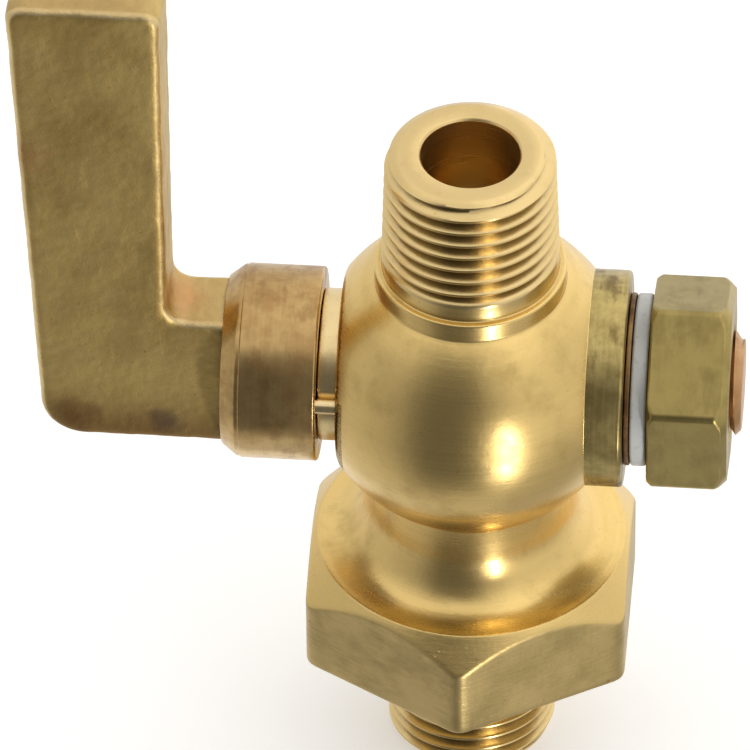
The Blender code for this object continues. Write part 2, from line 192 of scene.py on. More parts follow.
def rounded(corners, steps=5, loop=False):
    """A path through points, where a point with a third value is rounded by an arc of that radius."""
    path = []
    for i, corner in enumerate(corners):
        inside = loop or 0 < i < len(corners) - 1
        if len(corner) == 2 or not inside:
            path.append(tuple(corner[:2]))
            continue
        here = Vector(corner[:2])
        before = (Vector(corners[i - 1][:2]) - here).normalized()
        after = (Vector(corners[(i + 1) % len(corners)][:2]) - here).normalized()
        half = before.angle(after) / 2
        middle = here + (before + after).normalized() * corner[2] / math.sin(half)
        start = (here + before * corner[2] / math.tan(half) - middle).normalized()
        end = (here + after * corner[2] / math.tan(half) - middle).normalized()
        for k in range(steps + 1):
            path.append(tuple(middle + start.slerp(end, k / steps) * corner[2]))
    return path


def thread_shape(turns):
    """0 on a crest and 1 in a root, at this many pitches from a crest; both are a little flattened."""
    distance = np.abs((turns + 0.5) % 1 - 0.5) * 2
    flank = np.clip((distance - 0.12) / 0.78, 0, 1)
    return flank * 0.75 + flank**2 * (3 - 2 * flank) * 0.25


def thread_rows(angles, surface, low, high, pitch, crest, per_pitch=12):
    """Rows that follow a right-hand helix from the ring at low to the ring at high, without those two rings.

    surface(angles, heights) gives the radius. crest is the height of a crest at angle 0. A few rows lead from
    the lower ring to the first turn of the helix, and from the last turn to the upper ring.
    """
    step = pitch / per_pitch
    least_gap = 0.15
    first = low + least_gap + (crest - low - least_gap) % step
    turns = int((high - least_gap - first) / pitch) - 1
    climb = first + pitch * angles / TURN
    last = climb + turns * pitch
    heights = [low + (climb - low) * k / per_pitch for k in range(1, per_pitch)]
    heights += [climb + k * step for k in range(turns * per_pitch + 1)]
    heights += [last + (high - last) * k / per_pitch for k in range(1, per_pitch)]
    return [row(angles, surface(angles, height), height) for height in heights]


def seam(points, index):
    """Triangles from the last column to the first one, whose rows a helix has shifted against each other."""
    left, right = index[:, -1], index[:, 0]
    heights = points[:, 2]
    faces = []
    i = j = 0
    while i < len(left) - 1 or j < len(right) - 1:
        right_done = j == len(right) - 1
        left_has_more = i < len(left) - 1
        if right_done or (left_has_more and heights[left[i + 1]] < heights[right[j + 1]]):
            faces.append([int(left[i]), int(right[j]), int(left[i + 1])])
            i += 1
        else:
            faces.append([int(left[i]), int(right[j]), int(right[j + 1])])
            j += 1
    return faces


def grid_object(name, rows, threads=(), loop=True):
    """A closed surface over rows of points about Z.

    A loop joins the last row to the first one; otherwise both ends get a flat cap. threads are
    (first row, last row) spans whose rows follow a helix.
    """
    points = np.concatenate(rows)
    index = np.arange(len(points)).reshape(len(rows), -1)
    lower = index if loop else index[:-1]
    upper = np.roll(index, -1, axis=0) if loop else index[1:]
    quads = np.stack([lower, np.roll(lower, -1, 1), np.roll(upper, -1, 1), upper], axis=-1)
    kept = np.ones(quads.shape[:2], bool)
    faces = []
    for first, last in threads:
        kept[first:last, -1] = False
        faces += seam(points, index[first:last + 1])
    faces += quads[kept].tolist()
    if not loop:
        faces += [index[0][::-1].tolist(), index[-1].tolist()]
    return mesh_object(name, points, faces)


def mesh_object(name, points, faces):
    mesh = bpy.data.meshes.new(name)
    mesh.from_pydata((np.asarray(points) * MM).tolist(), [], faces)
    made = bpy.data.objects.new(name, mesh)
    bpy.context.scene.collection.objects.link(made)
    return made


def along_x(obj):
    """Lays a piece made about Z along the plug's axis: its +Z end points along +X."""
    turn = Matrix(((0, 0, 1, 0), (0, 1, 0, 0), (-1, 0, 0, AXIS_Z * MM), (0, 0, 0, 1)))
    obj.data.transform(turn)
    return obj


def applied(obj):
    """Replaces the object's mesh by what its modifiers make of it."""
    bpy.context.view_layer.update()
    graph = bpy.context.evaluated_depsgraph_get()
    mesh = bpy.data.meshes.new_from_object(obj.evaluated_get(graph))
    obj.modifiers.clear()
    obj.data = mesh
    return obj


def combine(obj, operation, other):
    modifier = obj.modifiers.new("combine", "BOOLEAN")
    modifier.operation = operation
    modifier.object = other
    modifier.solver = "MANIFOLD"
    applied(obj)
    bpy.data.objects.remove(other)
    return obj


def turned(name, profile, count=96):
    """A solid of revolution about Z from (radius, height) points, with flat caps."""
    return grid_object(name, rings(column_angles(count), profile), loop=False)


def prism(name, outline, low, high):
    """A polygon in XY extruded along Z."""
    rows = [[(x, y, z) for x, y in outline] for z in (low, high)]
    return grid_object(name, [np.array(points) for points in rows], loop=False)


def hex_radius(angles, across_flats, first_corner, softness):
    """The radius of a hexagon at each angle, its corners rounded."""
    normals = first_corner + TURN / 12 + np.arange(6) * TURN / 6
    facing = np.maximum(np.cos(angles[:, None] - normals), 0.3)
    nearest = np.sort(across_flats / 2 / facing, axis=1)
    return smooth_min(nearest[:, 0], nearest[:, 1], softness)


# --- Valve body --------------------------------------------------------------------------------------------

def pipe_surface(end_z, run_out_z, crest):
    """The radius of a threaded pipe end at angles and heights. The thread runs out before run_out_z."""
    def radius(angles, heights):
        distance = np.abs(heights - end_z)
        turns = (heights - crest) / PIPE_PITCH - angles / TURN
        depth = PIPE_DEPTH * np.clip(np.abs(heights - run_out_z) / (0.6 * PIPE_PITCH), 0, 1)
        crests = PIPE_RADIUS + distance * PIPE_TAPER
        chamfer = PIPE_FACE_RADIUS + distance * (PIPE_RADIUS - PIPE_FACE_RADIUS) / PIPE_CHAMFER
        return smooth_min(crests - depth * thread_shape(turns), chamfer, 0.05)
    return radius


def body_rows(angles):
    """The body's rows, up its outer side and then down the waterway, and the spans of the threads."""
    ball = BAR / 2
    corner = math.radians(90)
    hexagon = hex_radius(angles, BAR, corner, HEX_SOFTNESS)
    rim_radius, rim_z = NECK_RADIUS + COVE_RADIUS, COVE_TOP_Z - COVE_RADIUS
    face_edge = [(PIPE_FACE_RADIUS - inset, depth) for inset, depth in PIPE_FACE_EDGE]

    # Lower pipe end, and the small fillet where it meets the hexagon
    lower = pipe_surface(0, LOWER_RUN_OUT_Z, LOWER_CREST_Z)
    rows = rings(angles, [(BORE_RADIUS + BORE_EDGE, 0), *face_edge])
    rows.append(row(angles, lower(angles, CHAMFER_START), CHAMFER_START))
    threads = [[len(rows) - 1]]
    rows += thread_rows(angles, lower, CHAMFER_START, LOWER_RUN_OUT_Z, PIPE_PITCH, LOWER_CREST_Z)
    threads[0].append(len(rows))
    shoulder = PIPE_RADIUS + HEX_BOTTOM_Z * PIPE_TAPER
    rows += rings(angles, [
        (shoulder - 0.02, LOWER_RUN_OUT_Z),
        (shoulder, HEX_BOTTOM_Z - 0.12),
        (shoulder + 0.04, HEX_BOTTOM_Z - 0.03),
        (shoulder + 0.15, HEX_BOTTOM_Z),
    ])

    # Hexagon: underside, lower edge, flats under the cone that the lathe left on its corners
    def cone(z):
        return rim_radius + (rim_z - z) / CONE_SLOPE

    for share in (0.35, 0.7):
        rows.append(row(angles, shoulder + (hexagon - shoulder) * share, HEX_BOTTOM_Z))
    for angle in np.radians([0, 30, 60, 90]):
        drop = HEX_EDGE * (1 - math.cos(angle))
        rows.append(row(angles, hexagon - HEX_EDGE * (1 - math.sin(angle)), HEX_BOTTOM_Z + drop))
    cone_low = rim_z - (hexagon.max() + 0.3 - rim_radius) * CONE_SLOPE
    cone_high = rim_z - 0.2
    flats = np.linspace(HEX_BOTTOM_Z + 0.5, cone_low, 5)
    for z in np.concatenate([flats, np.linspace(cone_low, cone_high, 34)[1:]]):
        rows.append(row(angles, smooth_min(hexagon, cone(z), 0.15), z))

    # Cove, neck, ball, collar and band
    neck_angle = -math.degrees(math.acos(NECK_RADIUS / ball))
    collar_angle = math.degrees(math.acos(COLLAR_RADIUS / ball))
    band_radius = PIPE_RADIUS + (TOP_Z - BAND_TOP_Z) * PIPE_TAPER
    middle = [(cone(cone_high), cone_high), (rim_radius, rim_z, 0.2)]
    middle += arc((rim_radius, COVE_TOP_Z), COVE_RADIUS, 266, 180, 24)
    middle += [(NECK_RADIUS, AXIS_Z + ball * math.sin(math.radians(neck_angle)), NECK_FILLET)]
    middle += arc((0, AXIS_Z), ball, neck_angle + 1.6, collar_angle - 1.6, 72)
    middle += [(COLLAR_RADIUS, AXIS_Z + ball * math.sin(math.radians(collar_angle)), 0.2)]
    middle += [(COLLAR_RADIUS, COLLAR_TOP_Z, 0.16), (band_radius, COLLAR_TOP_Z, 0.1)]
    middle += [(band_radius, BAND_TOP_Z)]
    rows += rings(angles, rounded(middle, steps=4)[1:])

    # Upper pipe end
    crest = UPPER_CREST_Z - 0.75 * PIPE_PITCH  # the front is at three quarters of a turn
    chamfer_top = TOP_Z - CHAMFER_START
    upper = pipe_surface(TOP_Z, UPPER_RUN_OUT_Z, crest)
    rows.append(row(angles, upper(angles, UPPER_RUN_OUT_Z), UPPER_RUN_OUT_Z))
    threads.append([len(rows) - 1])
    rows += thread_rows(angles, upper, UPPER_RUN_OUT_Z, chamfer_top, PIPE_PITCH, crest)
    threads[1].append(len(rows))
    rows.append(row(angles, upper(angles, chamfer_top), chamfer_top))
    rows += rings(angles, [(radius, TOP_Z - depth) for radius, depth in reversed(face_edge)])

    # Waterway
    tip = (BORE_RADIUS - PORT_RADIUS) * DRILL_TIP_SLOPE
    deep = BORE_DEPTH_FROM_AXIS
    rows += rings(angles, rounded([
        (face_edge[0][0], TOP_Z),
        (BORE_RADIUS + BORE_EDGE, TOP_Z, 0.05),
        (BORE_RADIUS, TOP_Z - BORE_EDGE, 0.1),
        (BORE_RADIUS, AXIS_Z + deep),
        (PORT_RADIUS, AXIS_Z + deep - tip),
        (PORT_RADIUS, AXIS_Z - deep - 1 + tip),
        (BORE_RADIUS, AXIS_Z - deep - 1),
        (BORE_RADIUS, BORE_EDGE),
    ], steps=2)[1:])
    return rows, threads


def taper_radius(x):
    return PLUG_RADIUS - (x - FACING_X) * PLUG_TAPER


def boss():
    """The round boss on the ball's right-hand side, with a small fillet where it leaves the ball."""
    ball = BAR / 2
    fillet_radius = BOSS_RADIUS + BOSS_FILLET
    fillet_x = math.sqrt((ball + BOSS_FILLET)**2 - fillet_radius**2)
    start = 180 + math.degrees(math.atan2(fillet_x, fillet_radius))
    profile = [(BOSS_RADIUS - 0.6, ball / 2), (BOSS_RADIUS - 0.3, fillet_x - 0.8)]
    profile += arc((fillet_radius, fillet_x), BOSS_FILLET * 1.01, start, 180, 6)
    profile += rounded([(BOSS_RADIUS, fillet_x + 0.05), (BOSS_RADIUS, BOSS_X, BOSS_EDGE), (0, BOSS_X)])[1:-1]
    return along_x(turned("boss", profile, 192))


def facing():
    """What is faced off the ball's left-hand side. Its skirt breaks the sharp edge."""
    edge = math.sqrt((BAR / 2)**2 - FACING_X**2)
    reach = BAR / 2 + 0.3
    profile = [
        (reach, -BAR),
        (reach, FACING_X + 0.3),
        (edge + 0.55, FACING_X + 0.3),
        (edge - 0.16, FACING_X),
    ]
    return along_x(turned("facing", profile, 192))


def stop_recess():
    """The quarter-turn recess in the faced flat, that the stop pin runs in."""
    start = math.degrees(-math.pi / 2 - PIN_ANGLE - RECESS_MARGIN)
    end = start + math.degrees(2 * RECESS_MARGIN + LEVER_TURN)
    outline = arc((0, 0), PLUG_RADIUS - 0.2, start, end, 32) + arc((0, 0), HUB_RADIUS + 1, end, start, 32)
    return along_x(prism("recess", outline, FACING_X - 1, FACING_X + RECESS_DEPTH))


def valve_body():
    corners = [TURN / 12 + TURN / 6 * i for i in range(6)]
    rows, threads = body_rows(column_angles(240, corners))
    body = grid_object("valve_body_fine", rows, threads)
    combine(body, "UNION", boss())
    combine(body, "DIFFERENCE", facing())
    combine(body, "DIFFERENCE", stop_recess())
    ends = [FACING_X - 2, BOSS_X + 1]
    bore = turned("plug_bore", [(taper_radius(x) + CLEARANCE, x) for x in ends], 144)
    return combine(body, "DIFFERENCE", along_x(bore))


# --- Plug and stop pin -------------------------------------------------------------------------------------

def tapered_plug():
    angles = column_angles(144)
    thread_low, thread_high = STUD_THREAD_X, STUD_END_X - 0.03
    crest = thread_low

    def stud(at, heights):
        turns = (heights - crest) / STUD_PITCH - at / TURN
        depth = STUD_DEPTH * np.clip((heights - thread_low) / (0.5 * STUD_PITCH), 0, 1)
        chamfer = STUD_RADIUS - STUD_CHAMFER + (STUD_END_X - heights)
        return smooth_min(STUD_RADIUS - depth * thread_shape(turns), chamfer, 0.08)

    small = taper_radius(PLUG_SMALL_X)
    left = rounded([(0, NECK_LEFT_X), (PLUG_RADIUS, NECK_LEFT_X, 0.1), (PLUG_RADIUS, FACING_X)])
    rows = rings(angles, left[1:])
    taper = np.linspace(FACING_X + 0.1, PLUG_SMALL_X - 0.05, 24)
    rows += rings(angles, [(taper_radius(x), x) for x in taper])
    rows += rings(angles, [(small - 0.06, PLUG_SMALL_X), (STUD_RADIUS, PLUG_SMALL_X + 0.01)])
    rows.append(row(angles, stud(angles, thread_low), thread_low))
    threads = [[len(rows) - 1]]
    rows += thread_rows(angles, stud, thread_low, thread_high, STUD_PITCH, crest)
    threads[0].append(len(rows))
    rows.append(row(angles, stud(angles, thread_high), thread_high))
    rows += rings(angles, [(STUD_RADIUS - 0.62, STUD_END_X)])
    plug = along_x(grid_object("tapered_plug_fine", rows, threads, loop=False))

    half = TANG_SIDE / 2
    corners = [(-half, -half), (half, -half), (half, half), (-half, half)]
    square = rounded([(*corner, TANG_CORNER) for corner in corners], loop=True)
    combine(plug, "UNION", along_x(prism("tang", square, TANG_END_X, FACING_X)))
    wide = 2 * STUD_RADIUS
    beyond = [(STUD_FLAT, -wide), (STUD_FLAT + wide, -wide), (STUD_FLAT + wide, wide), (STUD_FLAT, wide)]
    combine(plug, "DIFFERENCE", along_x(prism("flat", beyond, PLUG_SMALL_X + 0.05, STUD_END_X + 1)))
    reach = 2 * PLUG_RADIUS
    port = turned("port", [(PORT_RADIUS, AXIS_Z - reach), (PORT_RADIUS, AXIS_Z + reach)], 96)
    return combine(plug, "DIFFERENCE", port)


def at_pin(obj):
    """Moves a piece made on the plug's axis to the stop pin's place."""
    offset = Vector((0, -math.cos(PIN_ANGLE), math.sin(PIN_ANGLE))) * PIN_CIRCLE * MM
    obj.data.transform(Matrix.Translation(offset))
    return obj


def stop_pin():
    low, high = extent("stop_pin", X)
    profile = [(PIN_RADIUS - 0.1, low), (PIN_RADIUS, low + 0.1)]
    profile += rounded([(PIN_RADIUS, high - 0.4), (PIN_RADIUS, high, 0.3), (0, high)], steps=8)[1:-1]
    return at_pin(along_x(turned("stop_pin_fine", profile, 48)))


# --- Lever -------------------------------------------------------------------------------------------------

def lever_outline():
    foot_x = HUB_LEFT_X + ARM_INTO_HUB
    tip = LEVER_TOP - AXIS_Z - CAST_MARGIN
    return rounded([
        (BLADE_OUTER_TOP_X + CAST_MARGIN, tip, BLADE_TIP_RADIUS),
        (BLADE_OUTER_BOTTOM_X, -ARM_HALF_HEIGHT, HEEL_RADIUS),
        (foot_x, -ARM_HALF_HEIGHT),
        (foot_x, ARM_HALF_HEIGHT),
        (BLADE_INNER_X, ARM_HALF_HEIGHT, CROTCH_RADIUS),
        (BLADE_INNER_X, tip, BLADE_TIP_RADIUS),
    ], steps=14, loop=True)


def shrunk(outline, distance):
    """The outline with every point moved inwards by a distance."""
    points = np.array(outline)
    ahead = np.roll(points, -1, 0) - points
    behind = points - np.roll(points, 1, 0)
    ahead /= np.linalg.norm(ahead, axis=1)[:, None]
    behind /= np.linalg.norm(behind, axis=1)[:, None]
    tangent = ahead + behind
    length = np.linalg.norm(tangent, axis=1)[:, None]
    inward = np.stack([-tangent[:, 1], tangent[:, 0]], 1) / length
    return points + inward * distance / (length / 2)


def cast_skin(obj, swell, grain):
    """Moves the surface in and out a little, as a sand casting's skin is."""
    normals = [vertex.normal.copy() for vertex in obj.data.vertices]
    for vertex, normal in zip(obj.data.vertices, normals):
        place = vertex.co / MM
        wave = noise.noise(place * 0.45) * swell + noise.noise(place * 2.1) * grain
        vertex.co += normal * (wave - swell * 0.5 - grain * 0.5) * MM
    return obj


def lever_handle():
    """The cast L-shaped arm, and the machined hub on its foot."""
    outline = lever_outline()
    rows = []
    half = LEVER_THICKNESS / 2
    for side in (-1, 1):
        turns = np.radians(np.linspace(0, 90, 7))
        for turn in turns if side < 0 else turns[::-1]:
            edge = shrunk(outline, LEVER_EDGE * (1 - math.sin(turn)))
            height = side * (half - LEVER_EDGE * (1 - math.cos(turn)))
            rows.append(np.column_stack([edge[:, 0], edge[:, 1], np.full(len(edge), height)]))
    lever = grid_object("lever_handle_fine", rows, loop=False)
    stand = Matrix(((1, 0, 0, 0), (0, 0, -1, 0), (0, 1, 0, AXIS_Z * MM), (0, 0, 0, 1)))
    lever.data.transform(stand)
    skin = lever.modifiers.new("skin", "REMESH")
    skin.mode = "VOXEL"
    skin.voxel_size = SKIN_VOXEL * MM
    softened = lever.modifiers.new("softened", "SMOOTH")
    softened.iterations = 3
    cast_skin(applied(lever), SKIN_SWELL, SKIN_GRAIN)

    right = HUB_RIGHT_X
    hub = turned("hub", rounded([
        (0, HUB_LEFT_X),
        (HUB_FACE_RADIUS, HUB_LEFT_X, 0.12),
        (HUB_STEP_RADIUS, HUB_STEP_X - 0.2, 0.25),
        (HUB_STEP_RADIUS, HUB_STEP_X),
        (HUB_RADIUS, HUB_STEP_X + 0.06),
        (HUB_RADIUS, right, 0.14),
        (0, right),
    ])[1:-1], 192)
    combine(lever, "UNION", along_x(hub))
    half = (TANG_SIDE + 4 * CLEARANCE) / 2
    square = [(-half, -half), (half, -half), (half, half), (-half, half)]
    socket = prism("socket", square, TANG_END_X - 0.1, right + 1)
    combine(lever, "DIFFERENCE", along_x(socket))
    low = extent("stop_pin", X)[0] - CLEARANCE
    radius = PIN_RADIUS + CLEARANCE
    hole = at_pin(along_x(turned("pin_hole", [(radius, low), (radius, right + 1)], 48)))
    return combine(lever, "DIFFERENCE", hole)


# --- Washers and nut ---------------------------------------------------------------------------------------

def washer(name, node, hole, edge):
    """A washer about the plug's axis between the CAD node's ends. hole is its hole's radius at each angle."""
    low, high = extent(node, X)
    angles = column_angles(180)
    outer = rounded([
        (WASHER_RADIUS - 2 * edge, low),
        (WASHER_RADIUS, low, edge),
        (WASHER_RADIUS, high, edge),
        (WASHER_RADIUS - 2 * edge, high),
    ])
    rows = [row(angles, hole(angles) + 0.05, low)]
    rows += rings(angles, outer)
    rows += [row(angles, hole(angles) + 0.05, high), row(angles, hole(angles), high - 0.05)]
    rows.append(row(angles, hole(angles), low + 0.05))
    return along_x(grid_object(name, rows))


def round_hole(angles):
    return STUD_RADIUS + CLEARANCE + np.zeros(len(angles))


def d_hole(angles):
    """The hole of the key washer: round, with the flat that stops it turning on the stud."""
    flat = (STUD_FLAT + CLEARANCE) / np.maximum(np.cos(angles), 0.1)
    return np.minimum(STUD_RADIUS + CLEARANCE, flat)


def retaining_nut():
    low, high = extent("retaining_nut", X)
    first = -math.pi / 2 - NUT_TURN
    angles = column_angles(240, [first + TURN / 6 * i for i in range(6)], (0.4, 0.8, 1.2, 1.7, 2.3))
    hexagon = hex_radius(angles, NUT_FLATS, first, NUT_SOFTNESS)
    left_face = NUT_FLATS / 2 + NUT_LEFT_CORNER
    right_face = NUT_FLATS / 2 + NUT_RIGHT_CORNER

    def outside(z):
        bevelled = hexagon - max(0, low + NUT_LEFT_BEVEL - z) - max(0, z - high + NUT_RIGHT_BEVEL)
        left = left_face + (z - low)
        right = right_face + (high - z)
        return smooth_min(smooth_min(bevelled, left, 0.12), right, 0.2)

    hole = STUD_RADIUS + 0.02
    inside = NUT_FLATS / 2 - NUT_RIGHT_BEVEL - 0.1
    rows = [row(angles, hole + NUT_SINK, low), row(angles, inside - 0.4, low), row(angles, inside, low)]
    near_left = np.linspace(low + 0.02, low + 1.3, 22)
    near_right = np.linspace(high - 1.6, high - 0.02, 28)
    for z in np.concatenate([near_left, near_right]):
        rows.append(row(angles, outside(z), z))
    rows += [row(angles, inside, high), row(angles, inside - 0.4, high)]
    rows.append(row(angles, hole + NUT_SINK, high))
    rows += [row(angles, hole, high - NUT_SINK), row(angles, hole, low + NUT_SINK)]
    return along_x(grid_object("retaining_nut_fine", rows))


# --- Materials ---------------------------------------------------------------------------------------------

# Darkening of each piece's own corners and thread roots by ambient occlusion: dirt and painted shade
CORNER_DIRT_AND_SHADE = (0.13, 0.11, 0.075)
CORNER_DIRT_AND_SHADE_REACH = 0.8 * MM
# The colour of the painted reflection on downward faces
UNDERSIDE_REFLECTION_COLOUR = (0.95, 0.74, 0.36)
SPECK = (0.16, 0.09, 0.03)
PIT = (0.17, 0.11, 0.04)


class Graph:
    """Short forms for a material's nodes. Coordinates are the object's own, in millimetres."""

    def __init__(self, name):
        self.material = bpy.data.materials.new(name)
        self.material.use_nodes = True
        self.tree = self.material.node_tree
        self.shader = self.tree.nodes["Principled BSDF"]
        coordinates = self.node("ShaderNodeTexCoord", {}).outputs
        place, self.normal = coordinates["Object"], coordinates["Normal"]
        self.place = self.vector("MULTIPLY", place, (1000, 1000, 1000))
        parts = self.node("ShaderNodeSeparateXYZ", {0: self.place}).outputs
        self.x, self.y, self.z = parts[0], parts[1], parts[2]

    def put(self, socket, value):
        if isinstance(value, bpy.types.NodeSocket):
            self.tree.links.new(value, socket)
        elif isinstance(value, tuple) and len(value) == 3 and socket.type == "RGBA":
            socket.default_value = (*value, 1)
        else:
            socket.default_value = value

    def node(self, kind, inputs, **settings):
        made = self.tree.nodes.new(kind)
        for key, value in settings.items():
            setattr(made, key, value)
        for key, value in inputs.items():
            self.put(made.inputs[key], value)
        return made

    def math(self, operation, *values):
        return self.node("ShaderNodeMath", dict(enumerate(values)), operation=operation).outputs[0]

    def vector(self, operation, *values):
        return self.node("ShaderNodeVectorMath", dict(enumerate(values)), operation=operation).outputs[0]

    def noise(self, vector, scale, detail=4.0, rough=0.5):
        inputs = {"Vector": vector, "Scale": scale, "Detail": detail, "Roughness": rough}
        return self.node("ShaderNodeTexNoise", inputs).outputs["Fac"]

    def between(self, value, low, high, start=0.0, end=1.0):
        """start below low, end above high, and a smooth step from one to the other."""
        inputs = {"Value": value, "From Min": low, "From Max": high, "To Min": start, "To Max": end}
        return self.node("ShaderNodeMapRange", inputs, interpolation_type="SMOOTHSTEP").outputs["Result"]

    def mix(self, share, first, second):
        return self.node("ShaderNodeMix", {0: share, 6: first, 7: second}, data_type="RGBA").outputs[2]

    def towards(self, axis):
        """How much of the surface's direction lies along an axis, from -1 to 1."""
        return self.node("ShaderNodeSeparateXYZ", {0: self.normal}).outputs[axis]

    def around(self, axis):
        """Coordinates in which a noise makes rings about an axis: radius, height and a slow drift across."""
        if axis == "Z":
            across, height = (self.x, self.y), self.z
        else:
            across, height = (self.y, self.math("SUBTRACT", self.z, AXIS_Z)), self.x
        squares = [self.math("MULTIPLY", value, value) for value in across]
        radius = self.math("SQRT", self.math("ADD", *squares))
        drift = self.math("MULTIPLY", across[0], 0.03)
        return self.node("ShaderNodeCombineXYZ", {0: radius, 1: height, 2: drift}).outputs[0]

    def spot(self, centre, radius):
        """1 near a place and 0 beyond a radius, with a ragged edge."""
        ends = {0: self.place, 1: centre}
        distance = self.node("ShaderNodeVectorMath", ends, operation="DISTANCE").outputs["Value"]
        ragged = self.math("MULTIPLY_ADD", self.noise(self.place, 0.9, 5), radius * 0.9, distance)
        return self.between(ragged, radius * 0.6, radius * 1.5, 1.0, 0.0)

    def relief(self, *layers):
        """Bumps on top of each other from (height, depth in millimetres) pairs."""
        normal = None
        for height, depth in layers:
            inputs = {"Height": height, "Distance": depth * MM, "Strength": 1.0}
            if normal is not None:
                inputs["Normal"] = normal
            normal = self.node("ShaderNodeBump", inputs).outputs["Normal"]
        self.put(self.shader.inputs["Normal"], normal)

    def finish(self, colour, roughness, metallic=1.0, corner_dirt_and_shade=0.6):
        """Connects the shader. corner_dirt_and_shade darkens the piece's own corners and thread roots: dirt
        and painted shade.
        """
        if corner_dirt_and_shade:
            # Ambient occlusion darkens corners and thread roots: partly dirt, partly painted shade
            reach = {"Distance": CORNER_DIRT_AND_SHADE_REACH}
            room = self.node("ShaderNodeAmbientOcclusion", reach, samples=8, only_local=True).outputs["AO"]
            ragged = self.math("MULTIPLY_ADD", self.noise(self.place, 1.8, 4, 0.6), 0.25, room)
            darkening_share = self.between(ragged, 0.55, 0.97, corner_dirt_and_shade, 0.0)
            colour = self.mix(darkening_share, colour, CORNER_DIRT_AND_SHADE)
        self.put(self.shader.inputs["Base Color"], colour)
        self.put(self.shader.inputs["Roughness"], roughness)
        self.shader.inputs["Metallic"].default_value = metallic
        return self.material


def machined_brass(name, clean, tarnish, axis, rough=0.22, marks=0.003, tarnish_from=0.5):
    """Turned brass: fine rings left by the tool, a cloudy tarnish and a few dark specks."""
    graph = Graph(name)
    ring_place = graph.around(axis)
    fine = graph.noise(ring_place, 5.5, 3)
    broad = graph.noise(ring_place, 1.1, 2)
    cloud = graph.noise(graph.place, 0.22, 6, 0.62)
    blotch = graph.noise(graph.place, 0.9, 5, 0.6)
    speck = graph.between(graph.noise(graph.place, 3.2, 3, 0.6), 0.70, 0.78)
    share = graph.between(cloud, tarnish_from, tarnish_from + 0.3, 0.0, 0.75)
    share = graph.math("MULTIPLY_ADD", graph.between(blotch, 0.5, 0.75), 0.16, share)
    share = graph.math("MULTIPLY_ADD", graph.between(broad, 0.4, 0.7), 0.10, share)
    colour = graph.mix(share, clean, tarnish)
    colour = graph.mix(graph.math("MULTIPLY", speck, 0.5), colour, SPECK)
    roughness = graph.math("MULTIPLY_ADD", share, 0.16, rough)
    roughness = graph.math("MULTIPLY_ADD", fine, 0.08, roughness)
    graph.relief((fine, marks), (blotch, 0.012), (graph.noise(graph.place, 7, 2), 0.0012))
    return graph.finish(colour, roughness)


def milled_brass(name, clean, tarnish, turned_colour):
    """The hex flats: satin, with long scratches across them and a duller, uneven tarnish."""
    graph = Graph(name)
    stretched = graph.vector("MULTIPLY", graph.place, (0.5, 0.5, 6.0))
    scratches = graph.noise(stretched, 1.3, 5, 0.65)
    crossed = graph.noise(graph.vector("MULTIPLY", graph.place, (2.5, 2.5, 0.8)), 1.5, 4)
    cloud = graph.noise(graph.place, 0.3, 6, 0.6)
    pits = graph.between(graph.noise(graph.place, 2.4, 4, 0.6), 0.66, 0.76)
    share = graph.between(graph.math("MULTIPLY_ADD", scratches, 0.4, cloud), 0.55, 0.95, 0.0, 0.9)
    colour = graph.mix(share, clean, tarnish)
    colour = graph.mix(graph.math("MULTIPLY", pits, 0.55), colour, PIT)
    slope = graph.math("ABSOLUTE", graph.towards(Z))
    cone = graph.between(slope, 0.2, 0.55)
    colour = graph.mix(graph.math("MULTIPLY", cone, 0.85), colour, turned_colour)
    roughness = graph.math("MULTIPLY_ADD", scratches, 0.22, 0.27)
    roughness = graph.math("MULTIPLY_ADD", cone, -0.09, roughness)
    graph.relief((scratches, 0.016), (crossed, 0.008), (pits, -0.015))
    return graph.finish(colour, roughness)


def cast_brass(name, clean, tarnish, stains):
    """The lever's skin: sand-cast grain, a rubbed front, brown and copper-coloured stains, worn edges with a
    painted highlight, painted shade on top, and browner towards its foot.
    """
    graph = Graph(name)
    grain = graph.noise(graph.place, 2.6, 5, 0.6)
    fine = graph.noise(graph.place, 8.0, 3, 0.6)
    rubbed = graph.noise(graph.vector("MULTIPLY", graph.place, (1.6, 1.0, 0.45)), 0.9, 5, 0.6)
    cloud = graph.noise(graph.place, 0.18, 5, 0.55)
    share = graph.between(graph.math("MULTIPLY_ADD", rubbed, 0.5, cloud), 0.6, 1.0)
    colour = graph.mix(share, clean, tarnish)
    # Bevels between the front faces and the sides lighter: partly worn brass, partly a painted highlight
    slant = graph.math("ABSOLUTE", graph.towards(Y))
    off_front = graph.between(slant, 0.8, 0.97, 1.0, 0.0)
    edge = graph.math("MULTIPLY", graph.between(slant, 0.1, 0.4), off_front)
    edge = graph.math("MULTIPLY", edge, graph.between(rubbed, 0.3, 0.55, 0.45, 1.0))
    colour = graph.mix(graph.math("MULTIPLY", edge, 0.8), colour, (0.85, 0.66, 0.35))
    # Painted shade: top faces darker
    lever_top_shade = graph.between(graph.towards(Z), 0.6, 0.95)
    colour = graph.mix(graph.math("MULTIPLY", lever_top_shade, 0.55), colour, (0.46, 0.32, 0.145))
    # Darker brown towards the bottom of the lever
    foot = graph.math("MULTIPLY_ADD", cloud, 3.0, graph.z)
    foot = graph.between(foot, AXIS_Z - 3.2, AXIS_Z + 0.8, 0.85, 0.0)
    colour = graph.mix(foot, colour, (0.3, 0.18, 0.065))
    for centre, radius, stain, strength in stains:
        colour = graph.mix(graph.math("MULTIPLY", graph.spot(centre, radius), strength), colour, stain)
    pits = graph.between(grain, 0.62, 0.74)
    colour = graph.mix(graph.math("MULTIPLY", pits, 0.45), colour, PIT)
    roughness = graph.math("MULTIPLY_ADD", rubbed, 0.25, 0.32)
    roughness = graph.math("MULTIPLY_ADD", edge, -0.1, roughness)
    graph.relief((grain, 0.022), (fine, 0.009), (rubbed, 0.006))
    return graph.finish(colour, roughness)


